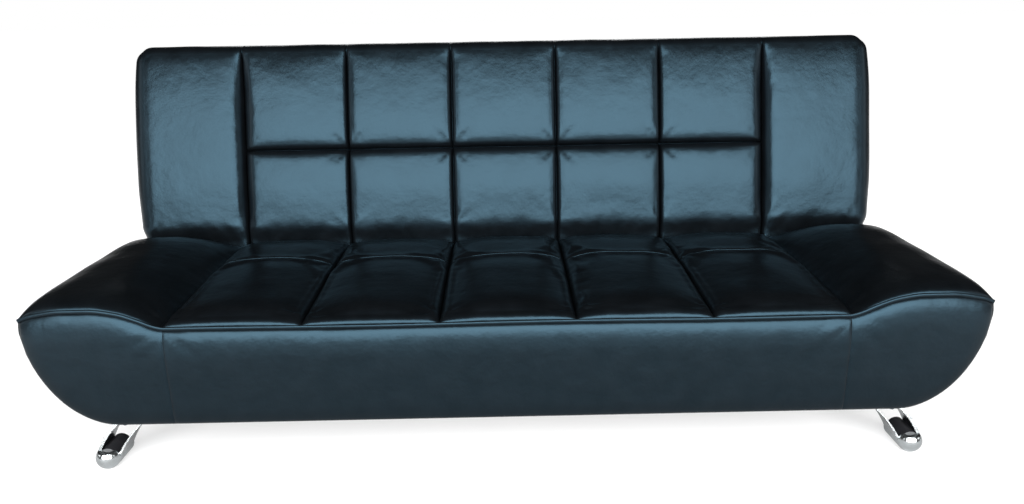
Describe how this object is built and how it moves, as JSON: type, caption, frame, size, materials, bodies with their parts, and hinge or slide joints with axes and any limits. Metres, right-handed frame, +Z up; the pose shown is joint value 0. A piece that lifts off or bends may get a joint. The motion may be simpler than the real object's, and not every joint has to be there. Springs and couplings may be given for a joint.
{
  "type": "futon sofa bed",
  "caption": "Armless click-clack sofa bed in tufted black faux leather: boat-shaped seat with raised ends, reclining backrest that folds flat, and bent chrome strip feet.",
  "frame": {"origin": "middle of the whole sofa's footprint, on the floor", "axes": "+X to the right as seen from the front, +Y to the rear, +Z up; the front apron faces -Y"},
  "size_m": [1.844, 0.8086, 0.8099],
  "materials": {
    "steel_frame": "satin",
    "plugs": "matte",
    "rubber": "matte",
    "plywood": "matte",
    "spring_steel": "satin",
    "felt": "matte",
    "foam": "matte",
    "leather": "satin",
    "piping": "satin",
    "lining": "matte",
    "chrome": "polished",
    "foot_plastic": "satin",
    "fasteners": "satin",
    "hinge_steel": "satin"
  },
  "bodies": {
    "seat_base": {"base_rail_left": "steel_frame", "base_rail_right": "steel_frame", "dust_cover": "lining", "end_cover_left": "leather", "end_cover_right": "leather", "end_skin_left": "plywood", "end_skin_right": "plywood", "foot_cap_front_left": "chrome", "foot_cap_front_right": "chrome", "foot_cap_rear_left": "chrome", "foot_cap_rear_right": "chrome", "foot_inserts": "foot_plastic", "foot_screws": "fasteners", "foot_strip_front_left": "chrome", "foot_strip_front_right": "chrome", "foot_strip_rear_left": "chrome", "foot_strip_rear_right": "chrome", "front_apron": "leather", "hinge_bolts_seat": "fasteners", "hinge_bracket_left": "hinge_steel", "hinge_bracket_right": "hinge_steel", "hinge_pins": "fasteners", "pawl_pins": "fasteners", "pawl_springs": "spring_steel", "rail_end_caps": "plugs", "rear_crossbar": "steel_frame", "seat_cover": "leather", "seat_cross_rails": "steel_frame", "seat_end_deck_left": "plywood", "seat_end_deck_right": "plywood", "seat_end_foam_left": "foam", "seat_end_foam_right": "foam", "seat_foam": "foam", "seat_front_board": "plywood", "seat_piping": "piping", "seat_rear_board": "plywood", "seat_rear_cover": "lining", "seat_rib_left": "plywood", "seat_rib_right": "plywood", "seat_spring_pad": "felt", "seat_springs": "spring_steel", "support_buffers": "rubber"},
    "backrest": {"back_bottom_rail": "steel_frame", "back_top_rail": "steel_frame", "back_stile_left": "steel_frame", "back_stile_right": "steel_frame", "back_mid_stiles": "steel_frame", "back_springs": "spring_steel", "back_pad": "felt", "back_foam": "foam", "back_cover_front": "leather", "back_cover_rear": "leather", "hinge_back_arm_left": "hinge_steel", "hinge_back_arm_right": "hinge_steel", "ratchet_plate_left": "hinge_steel", "ratchet_plate_right": "hinge_steel", "hinge_bolts_back": "fasteners"},
    "pawl_left": {"pawl_left": "hinge_steel"},
    "pawl_right": {"pawl_right": "hinge_steel"}
  },
  "joints": [
    {"name": "back_recline", "type": "hinge", "parent": "seat_base", "child": "backrest", "pos_m": [0, 0.19186, 0.27], "axis": [1, 0, 0], "range_deg": [-75, 10]},
    {"name": "pawl_left_swing", "type": "hinge", "parent": "seat_base", "child": "pawl_left", "pos_m": [-0.7187, 0.18267, 0.21272], "axis": [1, 0, 0], "range_deg": [-8, 3], "stiffness_Nm_per_rad": 0.5},
    {"name": "pawl_right_swing", "type": "hinge", "parent": "seat_base", "child": "pawl_right", "pos_m": [0.7187, 0.18267, 0.21272], "axis": [1, 0, 0], "range_deg": [-8, 3], "stiffness_Nm_per_rad": 0.5}
  ]
}
